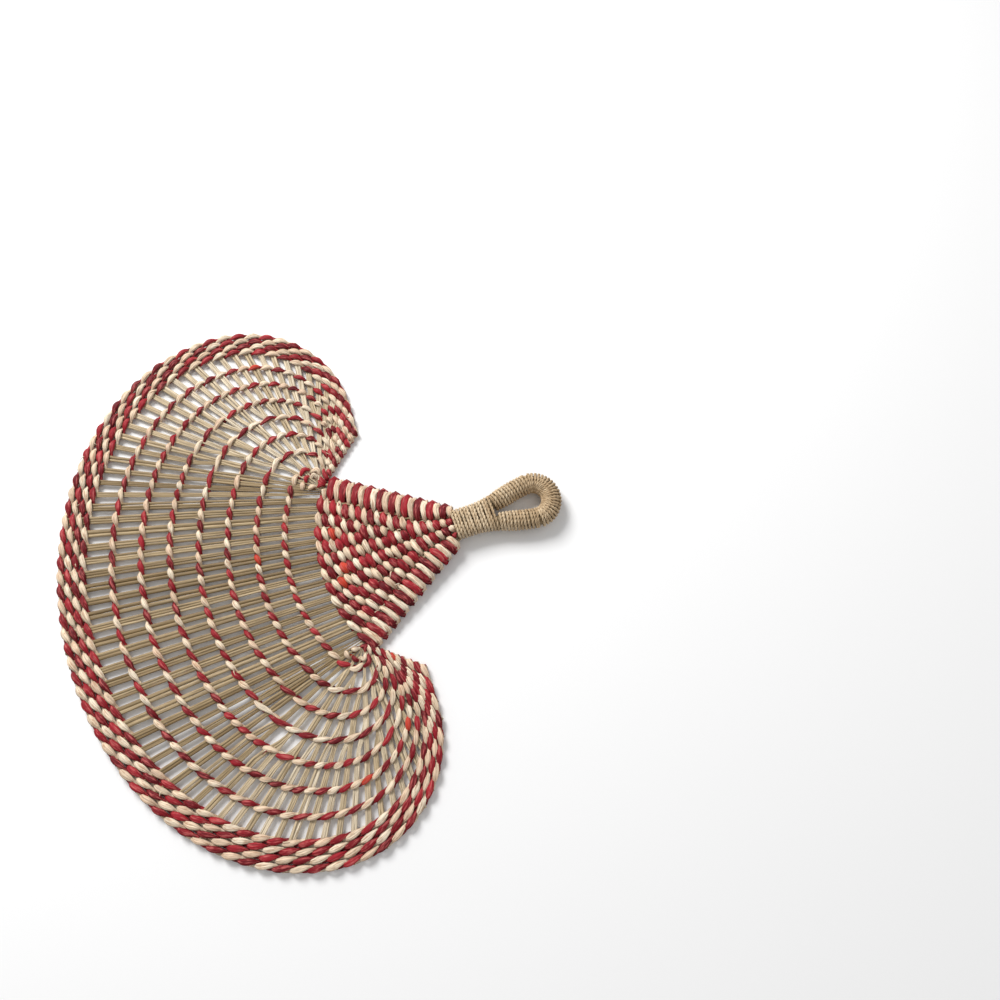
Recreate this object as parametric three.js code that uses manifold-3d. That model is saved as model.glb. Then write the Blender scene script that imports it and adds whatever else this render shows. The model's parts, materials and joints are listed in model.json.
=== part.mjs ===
// Twined straw hand fan: a wound hairpin handle, a close twined panel and an openwork blade with a rim.
// Sizes are in millimetres and degrees. +Y runs from the handle to the blade and +Z is up.
import * as THREE from "three";
import Module from "manifold-3d";

const wasm = await Module();
wasm.setup();

// Outline of the blade, measured from the neck where the handle meets the panel.
const BLADE_WIDTH = 350;
const WIDEST_Y = 115;
const CROWN_RISE = 133;
const LOBE_RADIUS = 72;
const LOBE_FOOT = 26;
const BLADE_LEAN = 0.055;

// Panel, a sector whose sides meet behind the neck.
const PANEL_RADIUS = 105;
const PANEL_HALF_ANGLE = 33.5;
const NECK_WIDTH = 19.6;
const NECK_THICKNESS = 6.4;
const PANEL_FIRST_ROW = 23;
const PANEL_LAST_ROW = 97;

// Numbers of pieces.
const PANEL_COLUMNS = 10;
const RIBS_PER_COLUMN = 2;
const LOBE_BUNDLES = 6;
const RIBS_PER_BUNDLE = 3;
const PANEL_ROWS = 10;
const PAIRED_ROWS = 4;
const OPEN_ROWS = 7;
const RIM_ROWS = 4;

// Straw ribs.
const RIB_WIDTH = 3.2;
const RIB_THICKNESS = 2.2;
const CROWN_PITCH = 11;
const BUNDLE_WIDTH = 5.6;
const ROOT_RUN = 6.5;

// Twined strands.
const STRAND_WIDTH = 3.2;
const STRAND_THICKNESS = 1.4;
const PANEL_STRAND_WIDTH = 6;
const PANEL_STRAND_THICKNESS = 1.6;
const RIM_PITCH = 4.5;
const RIM_MARGIN = 2.6;
const LEAST_ROW_GAP = 4.8;
const LEAST_STITCH = 3.9;
const REST_FLAT = 0.6;
const FOOT_EVERY = 5;

// Handle.
const STEM_LENGTH = 24;
const EYE_WIDTH = 9;
const HANDLE_LENGTH = 70;
const LIMB_WIDTH = 9.4;
const LIMB_THICKNESS = 8.8;
const STEM_LIMB_WIDTH = 7.4;
const CORD = 1.8;
const CORD_PITCH = 3;

// Fit between pieces that touch.
const CLEAR = 0.35;
const FILL = 0.27;
const CROSS_HEIGHT = 1.3;
const CROSS_DEPTH = 1.5;
const PANEL_CROSS_DEPTH = 2.6;
const CROSS_GAP = 0.5;
const TURN_CLEAR = 0.6;

const UP = new THREE.Vector3(0, 0, 1);
const RAD = Math.PI / 180;
const HALF_RIBS = ((PANEL_COLUMNS - 2) * RIBS_PER_COLUMN) / 2 + LOBE_BUNDLES * RIBS_PER_BUNDLE;
const CENTRE_RIBS = ((PANEL_COLUMNS - 2) * RIBS_PER_COLUMN) / 2;
const SECTOR_Y = -NECK_WIDTH / 2 / Math.tan(PANEL_HALF_ANGLE * RAD);
const COLUMN_ANGLE = (2 * PANEL_HALF_ANGLE) / PANEL_COLUMNS;
const PANEL_PITCH = (PANEL_LAST_ROW - PANEL_FIRST_ROW) / (PANEL_ROWS - 1);
const SPLIT_RADIUS = PANEL_FIRST_ROW + (PAIRED_ROWS - 0.5) * PANEL_PITCH;

// How far a strand's inner side stands off the middle of a stalk of this half thickness.
function lift(halfThick) {
  const overEdge = (CLEAR + FILL * CROSS_HEIGHT) / (1 - 2 * FILL);
  return Math.max(halfThick + CLEAR, overEdge);
}

const BLADE_Z = lift(RIB_THICKNESS / 2) + STRAND_THICKNESS + 0.05;
const WRAP_SWELL = 1 / Math.cos(Math.PI / 8);
const WRAP_OFF = CLEAR + CORD / 2;
const HANDLE_Z = (LIMB_THICKNESS / 2 + WRAP_OFF) * WRAP_SWELL + CORD / 2 + 0.1;

// Joins rings of equal count into one closed body that faces out. Turned sides are split along the other diagonal.
function loft(rings, turned = []) {
  const sides = rings[0].length;
  const points = rings.flat();
  const index = [];
  for (let i = 0; i + 1 < rings.length; i++) {
    for (let j = 0; j < sides; j++) {
      const a = i * sides + j;
      const b = i * sides + ((j + 1) % sides);
      if (turned.includes(j)) {
        index.push(a, b, b + sides, a, b + sides, a + sides);
      } else {
        index.push(a, b, a + sides, b, b + sides, a + sides);
      }
    }
  }
  const last = (rings.length - 1) * sides;
  for (let j = 1; j + 1 < sides; j++) {
    index.push(0, j + 1, j, last, last + j, last + j + 1);
  }
  let volume = 0;
  for (let i = 0; i < index.length; i += 3) {
    const [a, b, c] = [points[index[i]], points[index[i + 1]], points[index[i + 2]]];
    volume += a.dot(b.clone().cross(c));
  }
  if (volume < 0) {
    index.reverse();
  }
  return new THREE.BufferGeometry().setFromPoints(points).setIndex(index);
}

function solid(geometry) {
  const mesh = new wasm.Mesh({
    numProp: 3,
    vertProperties: new Float32Array(geometry.getAttribute("position").array),
    triVerts: new Uint32Array(geometry.index.array),
  });
  return new wasm.Manifold(mesh);
}

function geometryOf(body) {
  const mesh = body.getMesh();
  const position = new THREE.BufferAttribute(mesh.vertProperties, 3);
  const index = new THREE.BufferAttribute(mesh.triVerts, 1);
  return new THREE.BufferGeometry().setAttribute("position", position).setIndex(index);
}

function joined(geometries) {
  return geometryOf(geometries.map(solid).reduce((a, b) => a.add(b)));
}

const fan = new THREE.Group();
const colours = { straw: 0xbfa878, red: 0xa82832, natural: 0xe3d2b4, cord: 0xb99a6a };

function place(name, geometry, colour) {
  const mesh = new THREE.Mesh(geometry, new THREE.MeshStandardMaterial({ color: colours[colour] }));
  mesh.name = name;
  fan.add(mesh);
}

// A point of the panel at a radius and an angle off its middle line.
function polar(radius, angle) {
  return new THREE.Vector2(radius * Math.sin(angle * RAD), SECTOR_Y + radius * Math.cos(angle * RAD));
}

function columnAngle(column) {
  return -PANEL_HALF_ANGLE + (column + 0.5) * COLUMN_ANGLE;
}

// Share of the way from the front edge of the panel back to the neck, and the sizes that follow it.
function backShare(radius) {
  return THREE.MathUtils.clamp((PANEL_RADIUS - radius) / (PANEL_RADIUS + SECTOR_Y), 0, 1);
}

function panelZ(radius) {
  return THREE.MathUtils.lerp(BLADE_Z, HANDLE_Z, backShare(radius));
}

function panelHalfThick(radius) {
  return THREE.MathUtils.lerp(RIB_THICKNESS / 2, NECK_THICKNESS / 2, backShare(radius));
}

// Half of the blade's outline, from the top of the crown to the tip of the right lobe.
function halfOutline() {
  const half = BLADE_WIDTH / 2;
  const lobe = half - LOBE_RADIUS;
  const path = new THREE.Path();
  path.absellipse(0, WIDEST_Y, half, CROWN_RISE, Math.PI / 2, 0, true);
  path.absarc(lobe, WIDEST_Y, LOBE_RADIUS, 0, -Math.PI / 2, true);
  path.lineTo(lobe - LOBE_FOOT, WIDEST_Y - LOBE_RADIUS);
  return path;
}

const OUTLINE = halfOutline();
const OUTLINE_LENGTH = OUTLINE.getLength();
const TIP_PITCH = (2 * OUTLINE_LENGTH) / HALF_RIBS - CROWN_PITCH;

// Where a rib ends on the outline: side is 1 or -1, and ribs are counted from the crown.
function ribEnd(side, rib) {
  const n = rib + 0.5;
  const run = CROWN_PITCH * n + ((TIP_PITCH - CROWN_PITCH) * n * n) / (2 * HALF_RIBS);
  const point = OUTLINE.getPoint(Math.min(run / OUTLINE_LENGTH, 1));
  return new THREE.Vector2(side * point.x + BLADE_LEAN * point.y, point.y);
}

function ribAngle(side, rib) {
  return (side * (rib + 0.5) * COLUMN_ANGLE) / RIBS_PER_COLUMN;
}

// Where a rib leaves the panel: along its front edge, or at a corner for the ribs of a lobe.
function ribRoot(side, rib) {
  const corner = side * (PANEL_HALF_ANGLE - COLUMN_ANGLE / 2);
  return polar(PANEL_RADIUS, rib < CENTRE_RIBS ? ribAngle(side, rib) : corner);
}

// Distance of a row from a rib's root. Rows past the open ones are the rim, from its inside outwards.
function rowRun(length, row) {
  const open = length - RIM_MARGIN - (RIM_ROWS - 1) * RIM_PITCH;
  const rimRow = Math.max(row - OPEN_ROWS - 1, 0);
  return (open * Math.min(row, OPEN_ROWS + 1)) / (OPEN_ROWS + 1) + rimRow * RIM_PITCH;
}

// A straight rib and the points along it.
function layRib(side, rib) {
  const root = ribRoot(side, rib);
  const end = ribEnd(side, rib);
  const length = root.distanceTo(end);
  const atRun = (run) => root.clone().lerp(end, run / length);
  const at = (row) => atRun(rowRun(length, row));
  const line = end.clone().sub(root).normalize();
  return { root, end, length, line, atRun, at };
}

const ribs = new Map();
for (const side of [1, -1]) {
  const count = [...Array(HALF_RIBS).keys()];
  ribs.set(
    side,
    count.map((rib) => layRib(side, rib)),
  );
}

// Half a stalk's width, from how far to its side the nearest neighbour lies.
function halfWidth(point, line, neighbours, most) {
  const aside = neighbours.map((other) => Math.abs(other.clone().sub(point).cross(line)));
  return Math.min(most / 2, FILL * Math.min(...aside));
}

// The ribs of one bundle of a lobe, counted from the crown side.
function bundleRibs(side, bundle) {
  const first = CENTRE_RIBS + bundle * RIBS_PER_BUNDLE;
  return ribs.get(side).slice(first, first + RIBS_PER_BUNDLE);
}

// A bundle's line from the corner, and how far along it the first two rows cross.
function layBundle(side, bundle) {
  const own = bundleRibs(side, bundle);
  const line = new THREE.Vector2();
  own.forEach((rib) => line.add(rib.line));
  line.normalize();
  const length = own.reduce((sum, rib) => sum + rib.length, 0) / own.length;
  const run = (row) => Math.max(rowRun(length, row), ROOT_RUN + 3 * row);
  const at = (row) => own[0].root.clone().addScaledVector(line, run(row));
  const divide = run(2) + 5;
  return { own, line, length, run, at, divide, root: own[0].root };
}

const bundles = new Map();
for (const side of [1, -1]) {
  const count = [...Array(LOBE_BUNDLES).keys()];
  bundles.set(
    side,
    count.map((bundle) => layBundle(side, bundle)),
  );
}

// Whether a row can't go on over this stalk: too near its neighbours, or to where its bundle divides.
function rowEnds(stalks, row, i, bundle) {
  const { length, at } = stalks[i];
  const crowded = rowRun(length, 1) < LEAST_ROW_GAP || at(row).distanceTo(stalks[i - 1].at(row)) < LEAST_STITCH;
  const least = row <= 2 ? bundle.run(row) - 1e-6 : bundle.divide + STRAND_WIDTH / 2;
  return crowded || rowRun(length, row) < least;
}

// One side of a row, from the crown outwards: bundles in the lobe for the first two rows, ribs after that.
function halfRow(side, row) {
  const laid = ribs.get(side);
  const stalks = row <= 2 ? [...laid.slice(0, CENTRE_RIBS), ...bundles.get(side)] : laid;
  let count = CENTRE_RIBS;
  while (count < stalks.length) {
    const past = count - CENTRE_RIBS;
    const bundle = bundles.get(side)[row <= 2 ? past : Math.floor(past / RIBS_PER_BUNDLE)];
    if (row <= OPEN_ROWS && rowEnds(stalks, row, count, bundle)) {
      break;
    }
    count += 1;
  }
  return stalks.slice(0, count).map((each) => ({ point: each.at(row), line: each.line }));
}

// A whole row from the left end to the right end.
function rowStops(row) {
  const stops = [...halfRow(-1, row).reverse(), ...halfRow(1, row)];
  const off = lift(RIB_THICKNESS / 2);
  return stops.map(({ point, line }, i) => ({
    at: new THREE.Vector3(point.x, point.y, BLADE_Z),
    line: new THREE.Vector3(line.x, line.y, 0),
    off,
    flat: 0,
    foot: row === OPEN_ROWS + RIM_ROWS && i % FOOT_EVERY === 2,
  }));
}

// A stalk's four-sided section, pointed at both edges, on top and below.
function fourSided(stop, side) {
  const at = new THREE.Vector3(stop.at.x, stop.at.y, stop.z);
  return [
    at.clone().addScaledVector(side, stop.half),
    at.clone().addScaledVector(UP, stop.thick),
    at.clone().addScaledVector(side, -stop.half),
    at.clone().addScaledVector(UP, -stop.thick),
  ];
}

function stalk(stops) {
  const rings = stops.map((stop, i) => {
    const before = stops[Math.max(i - 1, 0)].at;
    const after = stops[Math.min(i + 1, stops.length - 1)].at;
    const along = after.clone().sub(before).normalize();
    return fourSided(stop, new THREE.Vector3(along.y, -along.x, 0));
  });
  return loft(rings, [0, 2]);
}

function bladeStop(at, half, share = 1) {
  return { at, half, thick: (share * RIB_THICKNESS) / 2, z: BLADE_Z };
}

// One column of the panel at a radius: close beside its partner behind the split, evenly spread after it.
function columnStop(column, radius) {
  const spread = FILL * radius * COLUMN_ANGLE * RAD;
  const split = radius > SPLIT_RADIUS;
  const half = split ? spread : spread - CLEAR / 4;
  const hand = column % 2 ? 1 : -1;
  const pairAngle = columnAngle(column) - (hand * COLUMN_ANGLE) / 2;
  const aside = (hand * (half + CLEAR / 2)) / radius / RAD;
  const angle = split ? columnAngle(column) : pairAngle + aside;
  return { at: polar(radius, angle), half, thick: panelHalfThick(radius), z: panelZ(radius) };
}

function columnStalk(column) {
  const hand = column % 2 ? 1 : -1;
  const pairAngle = columnAngle(column) - (hand * COLUMN_ANGLE) / 2;
  const neck = (CLEAR - SECTOR_Y) / Math.cos(pairAngle * RAD);
  const radii = [neck, SPLIT_RADIUS - 0.8, SPLIT_RADIUS + 0.8, PANEL_RADIUS];
  return stalk(radii.map((radius) => columnStop(column, radius)));
}

// A rib from inside its column to the outline.
function centreRib(column, side, rib) {
  const laid = ribs.get(side)[rib];
  const radius = PANEL_RADIUS - 3.5;
  const inside = columnStop(column, radius);
  const hand = Math.sign(ribAngle(side, rib) - columnAngle(column));
  const root = polar(radius, columnAngle(column) + (hand * 0.42 * inside.half) / radius / RAD);
  const first = laid.at(1);
  const near = rib === 0 ? ribs.get(-side)[0].at(1) : ribs.get(side)[rib - 1].at(1);
  return stalk([
    bladeStop(root, 0.45 * inside.half, 0.92),
    bladeStop(first, halfWidth(first, laid.line, [near], RIB_WIDTH)),
    bladeStop(laid.end, RIB_WIDTH / 2),
  ]);
}

// A column with the ribs that it divides into. The two outer columns end at the corners.
function columnWithRibs(column) {
  const side = column < PANEL_COLUMNS / 2 ? -1 : 1;
  const step = side > 0 ? column - PANEL_COLUMNS / 2 : PANEL_COLUMNS / 2 - 1 - column;
  const pieces = [columnStalk(column)];
  for (let i = 0; i < RIBS_PER_COLUMN; i++) {
    const rib = step * RIBS_PER_COLUMN + i;
    if (rib < CENTRE_RIBS) {
      pieces.push(centreRib(column, side, rib));
    }
  }
  return joined(pieces);
}

// One rib of a lobe, from inside its bundle to the outline.
function lobeRib(side, number, bundle, half) {
  const laid = ribs.get(side);
  const rib = laid[number];
  const beside = [laid[number - 1], laid[number + 1]].filter(Boolean);
  const run = Math.max(rowRun(rib.length, 3), bundle.divide);
  const apart = rib.atRun(run);
  const near = beside.map((other) => other.atRun(run));
  const ends = beside.map((other) => other.end);
  const middle = bundle.root.clone().addScaledVector(bundle.line, run);
  const inside = bundle.at(2).addScaledVector(apart.clone().sub(middle), 0.12);
  return stalk([
    bladeStop(inside, 0.3 * half, 0.9),
    bladeStop(apart, halfWidth(apart, rib.line, near, RIB_WIDTH)),
    bladeStop(rib.end, halfWidth(rib.end, rib.line, ends, RIB_WIDTH)),
  ]);
}

// A bundle of a lobe: one stalk out to the second row, which divides into its ribs.
function lobeBundle(side, number) {
  const laid = bundles.get(side);
  const bundle = laid[number];
  const { line, root, run, at } = bundle;
  const inner = number === 0 ? ribs.get(side)[CENTRE_RIBS - 1] : laid[number - 1];
  const others = (row) => [inner, laid[number + 1]].filter(Boolean).map((other) => other.at(row));
  const half = (row) => 0.9 * halfWidth(at(row), line, others(row), BUNDLE_WIDTH);
  const column = polar(1, side * columnAngle(PANEL_COLUMNS - 1)).sub(polar(0, 0));
  const start = ROOT_RUN * THREE.MathUtils.clamp(line.angleTo(column) / RAD / 60, 0.25, 1);
  const stem = stalk([
    bladeStop(root.clone().addScaledVector(line, start), (half(1) * start) / run(1)),
    bladeStop(at(1), half(1)),
    bladeStop(at(2), half(2)),
    bladeStop(root.clone().addScaledVector(line, run(2) + 2.5), half(2)),
  ]);
  const first = CENTRE_RIBS + number * RIBS_PER_BUNDLE;
  const own = bundle.own.map((rib, i) => lobeRib(side, first + i, bundle, half(2)));
  return joined([stem, ...own]);
}

// A place on a twined row: over or under a stalk, or in the gap where the two strands cross.
function overStalk(stop, along, across, phase, shift, size) {
  const at = stop.at.clone().addScaledVector(along, shift);
  const tall = size.thick + (stop.foot ? REST_FLAT + 0.05 : 0);
  return { at, along, across, phase, off: stop.off, half: size.width / 2, tall };
}

function crossing(at, along, across, phase, depth) {
  return { at, along, across, phase, off: CROSS_GAP / 2, half: CROSS_HEIGHT / 2, tall: depth };
}

function flatLine(from, to) {
  const line = to.clone().sub(from);
  line.z = 0;
  return line.normalize();
}

// The places along one row, with half a turn of the pair for each stalk.
function rowPlaces(stops, phase, size) {
  const places = [];
  const lay = stops.map((stop, i) => {
    const before = stops[Math.max(i - 1, 0)].at;
    const after = stops[Math.min(i + 1, stops.length - 1)].at;
    const along = flatLine(before, after);
    const hand = Math.sign(UP.clone().cross(along).dot(stop.line));
    return { along, across: stop.line.clone().multiplyScalar(hand) };
  });
  stops.forEach((stop, i) => {
    const { along, across } = lay[i];
    if (i > 0) {
      const middle = stops[i - 1].at.clone().lerp(stop.at, 0.5);
      const between = across.clone().add(lay[i - 1].across).normalize();
      const line = flatLine(stops[i - 1].at, stop.at);
      places.push(crossing(middle, line, between, phase + (i - 0.5) * Math.PI, size.depth));
    }
    const shifts = stop.flat > 0 ? [-stop.flat, stop.flat] : [0];
    shifts.forEach((shift) => places.push(overStalk(stop, along, across, phase + i * Math.PI, shift, size)));
  });
  return places;
}

// The end of a row, just past its last stalk.
function endPlace(place, hand, run) {
  const at = place.at.clone().addScaledVector(place.along, hand * run);
  return crossing(at, place.along, place.across, place.phase + (hand * Math.PI) / 2, CROSS_DEPTH);
}

// A strand's three-sided section, flat towards its partner. The second strand is half a turn behind.
function threeSided(place, second) {
  if (place.turn) {
    return place.turn(second);
  }
  const phase = place.phase + (second ? Math.PI : 0);
  const [c, s] = [Math.cos(phase), Math.sin(phase)];
  const corner = (x, y) =>
    place.at
      .clone()
      .addScaledVector(place.across, x * c - y * s)
      .addScaledVector(UP, x * s + y * c);
  const { half, off, tall } = place;
  return [corner(half, off), corner(-half, off), corner(0, off + tall)];
}

function strand(places, second) {
  return loft(places.map((place) => threeSided(place, second)), [1, 2]);
}

// Both strands of one row across the blade.
function bladeRow(row, size) {
  const places = rowPlaces(rowStops(row), 0, size);
  const slant = (place) => (row > OPEN_ROWS ? place.along.clone().cross(place.across).length() : 1);
  const run = (place) => (RIB_WIDTH / 2 + CLEAR + 0.8) / slant(place);
  const [head, tail] = [places[0], places.at(-1)];
  const all = [endPlace(head, -1, run(head)), ...places, endPlace(tail, 1, run(tail))];
  return [strand(all, false), strand(all, true)];
}

// The stalks of one panel row, in pairs behind the split and singly after it.
function panelStops(radius) {
  const paired = radius < SPLIT_RADIUS;
  const angle = paired ? 2 * COLUMN_ANGLE : COLUMN_ANGLE;
  const stops = [];
  for (let middle = -PANEL_HALF_ANGLE + angle / 2; middle < PANEL_HALF_ANGLE; middle += angle) {
    const point = polar(radius, middle);
    const half = FILL * radius * angle * RAD;
    const thick = panelHalfThick(radius);
    stops.push({
      at: new THREE.Vector3(point.x, point.y, panelZ(radius)),
      line: new THREE.Vector3(Math.sin(middle * RAD), Math.cos(middle * RAD), 0),
      off: paired ? thick + CLEAR : lift(thick),
      flat: paired ? half / 2 : 0,
    });
  }
  return stops;
}

// Where both strands pass round the outer column and step out to the next row, the second one outside.
function panelTurn(radius, side, phase, size) {
  const edge = PANEL_HALF_ANGLE - COLUMN_ANGLE * (0.5 - FILL);
  const point = polar(radius, side * edge);
  const out = new THREE.Vector3(side * Math.cos(edge * RAD), -Math.sin(edge * RAD), 0);
  const across = UP.clone().cross(out);
  return {
    turn(second) {
      const away = TURN_CLEAR + (second ? size.thick + 2 * CROSS_GAP : 0);
      const wide = ((second ? -1 : 1) * Math.cos(phase) * size.width) / 4;
      const at = new THREE.Vector3(point.x, point.y, panelZ(radius)).addScaledVector(out, away);
      return [
        at.clone().addScaledVector(across, wide),
        at.clone().addScaledVector(across, -wide),
        at.clone().addScaledVector(out, size.thick),
      ];
    },
  };
}

// Both strands of the panel, twined to and fro from the neck to the front edge.
function panelWeft() {
  const size = { width: PANEL_STRAND_WIDTH, thick: PANEL_STRAND_THICKNESS, depth: PANEL_CROSS_DEPTH };
  const places = [];
  let phase = 0;
  for (let row = 0; row < PANEL_ROWS; row++) {
    const radius = PANEL_FIRST_ROW + row * PANEL_PITCH;
    const stops = panelStops(radius);
    const side = row % 2 ? -1 : 1;
    places.push(...rowPlaces(side > 0 ? stops : stops.reverse(), phase, size));
    phase += stops.length * Math.PI;
    if (row + 1 < PANEL_ROWS) {
      places.push(panelTurn(radius + PANEL_PITCH / 2, side, phase - Math.PI, size));
    }
  }
  const all = [endPlace(places[0], -1, 2.2), ...places, endPlace(places.at(-1), 1, 4.2)];
  return [strand(all, false), strand(all, true)];
}

// Sideways place and half width of the loop's right limb at a distance below the neck.
const LIMB_X = EYE_WIDTH / 2 + (LIMB_WIDTH / 2 + WRAP_OFF) * WRAP_SWELL + CORD / 2;
const STEM_X = STEM_LIMB_WIDTH / 2 + CLEAR / 2;
const BEND_Y = -HANDLE_LENGTH + 2 * LIMB_X - EYE_WIDTH / 2;

function limbX(y) {
  return THREE.MathUtils.lerp(STEM_X, LIMB_X, THREE.MathUtils.smoothstep(-y, STEM_LENGTH - 4, -BEND_Y - 4));
}

function limbHalf(y) {
  const share = THREE.MathUtils.smoothstep(-y, STEM_LENGTH, STEM_LENGTH + 10);
  return THREE.MathUtils.lerp(STEM_LIMB_WIDTH / 2, LIMB_WIDTH / 2, share);
}

// The middle line of the hairpin, from the right of the neck round the loop to the left of it.
function hairpin() {
  const right = [];
  const steps = 12;
  for (let i = 0; i < steps; i++) {
    const y = -CLEAR + ((BEND_Y + CLEAR) * i) / steps;
    right.push(new THREE.Vector3(limbX(y), y, HANDLE_Z));
  }
  const bend = [];
  for (let i = 0; i <= 8; i++) {
    const a = (i * Math.PI) / 8;
    bend.push(new THREE.Vector3(LIMB_X * Math.cos(a), BEND_Y - LIMB_X * Math.sin(a), HANDLE_Z));
  }
  const left = right.map((p) => new THREE.Vector3(-p.x, p.y, p.z)).reverse();
  return new THREE.CatmullRomCurve3([...right, ...bend, ...left]);
}

const HAIRPIN = hairpin();
HAIRPIN.arcLengthDivisions = 800;
const HAIRPIN_LENGTH = HAIRPIN.getLength();

function hairpinFrame(run) {
  const share = THREE.MathUtils.clamp(run / HAIRPIN_LENGTH, 0, 1);
  const at = HAIRPIN.getPointAt(share);
  const along = HAIRPIN.getTangentAt(share);
  return { at, along, out: UP.clone().cross(along) };
}

function handleLoop() {
  const rings = [];
  const steps = 22;
  for (let i = 0; i <= steps; i++) {
    const { at, out } = hairpinFrame((HAIRPIN_LENGTH * i) / steps);
    const ring = [];
    for (let j = 0; j < 6; j++) {
      const across = limbHalf(at.y) * Math.cos((j * Math.PI) / 3);
      const high = (LIMB_THICKNESS / 2) * Math.sin((j * Math.PI) / 3);
      ring.push(at.clone().addScaledVector(out, across).addScaledVector(UP, high));
    }
    rings.push(ring);
  }
  return loft(rings);
}

// How far below the neck the two limbs stand far enough apart to be wound singly.
function limbStart() {
  const room = (y) => limbX(y) - (limbHalf(y) + WRAP_OFF) * WRAP_SWELL - CORD / 2;
  let y = -STEM_LENGTH;
  while (room(y) < CROSS_GAP && y > BEND_Y) {
    y -= 0.25;
  }
  return y;
}

// Pitch of the winding along the loop: wider round the bend, where the turns close up on the inside.
function windingPitch(y) {
  const inside = LIMB_X - (LIMB_WIDTH / 2 + WRAP_OFF) * WRAP_SWELL;
  const bend = ((CORD + 0.7) * LIMB_X) / inside;
  return THREE.MathUtils.lerp(CORD_PITCH, bend, THREE.MathUtils.smoothstep(-y, -BEND_Y - 14, -BEND_Y - 5));
}

// Middle points of the cord with the middle of what it goes round: the stem first, then the loop.
function cordPoints() {
  const points = [];
  const step = Math.PI / 4;
  const top = -CLEAR - CORD;
  const start = limbStart();
  const turns = Math.floor((top - start - CORD_PITCH) / CORD_PITCH);
  for (let i = 0; i <= 8 * turns; i++) {
    const y = top - (i * CORD_PITCH) / 8;
    const [c, s] = [Math.cos(i * step), Math.sin(i * step)];
    const wide = limbX(y) + limbHalf(y) + WRAP_OFF + CLEAR;
    const high = LIMB_THICKNESS / 2 + WRAP_OFF + CLEAR;
    const x = Math.sign(c) * Math.abs(c) ** 0.64 * wide;
    const z = Math.sign(s) * Math.abs(s) ** 0.3 * high;
    points.push({ at: new THREE.Vector3(x, y, HANDLE_Z + z), hub: new THREE.Vector3(0, y, HANDLE_Z) });
  }
  let run = 0;
  while (hairpinFrame(run).at.y > start) {
    run += 0.1;
  }
  const end = HAIRPIN_LENGTH - run - CORD_PITCH;
  for (let i = 0; run < end || i % 8 !== 1; i++) {
    const { at, out } = hairpinFrame(run);
    const wide = (limbHalf(at.y) + WRAP_OFF) * WRAP_SWELL * Math.cos(i * step);
    const high = (LIMB_THICKNESS / 2 + WRAP_OFF) * WRAP_SWELL * Math.sin(i * step);
    points.push({ at: at.clone().addScaledVector(out, wide).addScaledVector(UP, high), hub: at });
    run += windingPitch(at.y) / 8;
  }
  return points;
}

// Adds a straight end, one cord diameter long, to each end of the winding.
function withStraightEnds(points) {
  const lead = (a, b) => {
    const run = a.at.clone().sub(b.at).setLength(CORD);
    return { at: a.at.clone().add(run), hub: a.hub.clone().add(run) };
  };
  return [lead(points[0], points[1]), ...points, lead(points.at(-1), points.at(-2))];
}

// Least gap between turns of the cord, measured between points along its middle line.
function leastGap(points) {
  const fine = [];
  for (let i = 0; i + 1 < points.length; i++) {
    for (let j = 0; j < 4; j++) {
      fine.push(points[i].at.clone().lerp(points[i + 1].at, j / 4));
    }
  }
  let least = Infinity;
  for (let i = 0; i < fine.length; i++) {
    for (let j = i + 20; j < fine.length; j++) {
      least = Math.min(least, fine[i].distanceTo(fine[j]));
    }
  }
  return least - CORD;
}

function handleCord() {
  const points = withStraightEnds(cordPoints());
  console.log("winding, least gap to itself: " + leastGap(points).toFixed(2) + " mm");
  const rings = points.map(({ at, hub }, i) => {
    const before = points[Math.max(i - 1, 0)].at;
    const after = points[Math.min(i + 1, points.length - 1)].at;
    const along = after.clone().sub(before).normalize();
    const out = at.clone().sub(hub);
    out.addScaledVector(along, -out.dot(along)).normalize();
    const side = along.clone().cross(out);
    const ring = [];
    for (let j = 0; j < 4; j++) {
      const a = ((j + 0.5) * Math.PI) / 2;
      const radius = CORD / 2;
      const point = at.clone().addScaledVector(out, radius * Math.cos(a));
      ring.push(point.addScaledVector(side, radius * Math.sin(a)));
    }
    return ring;
  });
  return loft(rings);
}

// Cuts the underside of the outermost row flat, where the fan rests.
function restCut(geometry) {
  const far = 500;
  const square = (z) => [
    new THREE.Vector3(-far, -far, z),
    new THREE.Vector3(far, -far, z),
    new THREE.Vector3(far, far, z),
    new THREE.Vector3(-far, far, z),
  ];
  return geometryOf(solid(geometry).subtract(solid(loft([square(-20), square(0)]))));
}

function buildStraw() {
  for (let column = 0; column < PANEL_COLUMNS; column++) {
    place("straw_column_" + String(column + 1).padStart(2, "0"), columnWithRibs(column), "straw");
  }
  for (let bundle = 0; bundle < LOBE_BUNDLES; bundle++) {
    place("lobe_ribs_left_" + (bundle + 1), lobeBundle(-1, bundle), "straw");
    place("lobe_ribs_right_" + (bundle + 1), lobeBundle(1, bundle), "straw");
  }
}

function buildTwining() {
  const [panelRed, panelNatural] = panelWeft();
  place("panel_weft_red", panelRed, "red");
  place("panel_weft_natural", panelNatural, "natural");
  const size = { width: STRAND_WIDTH, thick: STRAND_THICKNESS, depth: CROSS_DEPTH };
  for (let row = 1; row <= OPEN_ROWS + RIM_ROWS; row++) {
    const rest = row === OPEN_ROWS + RIM_ROWS;
    const name = row <= OPEN_ROWS ? "open_row_" + row : "rim_row_" + (row - OPEN_ROWS);
    const [red, natural] = bladeRow(row, size);
    place(name + "_red", rest ? restCut(red) : red, "red");
    place(name + "_natural", rest ? restCut(natural) : natural, "natural");
  }
}

buildStraw();
buildTwining();
place("handle_loop", handleLoop(), "straw");
place("handle_cord", handleCord(), "cord");

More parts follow.
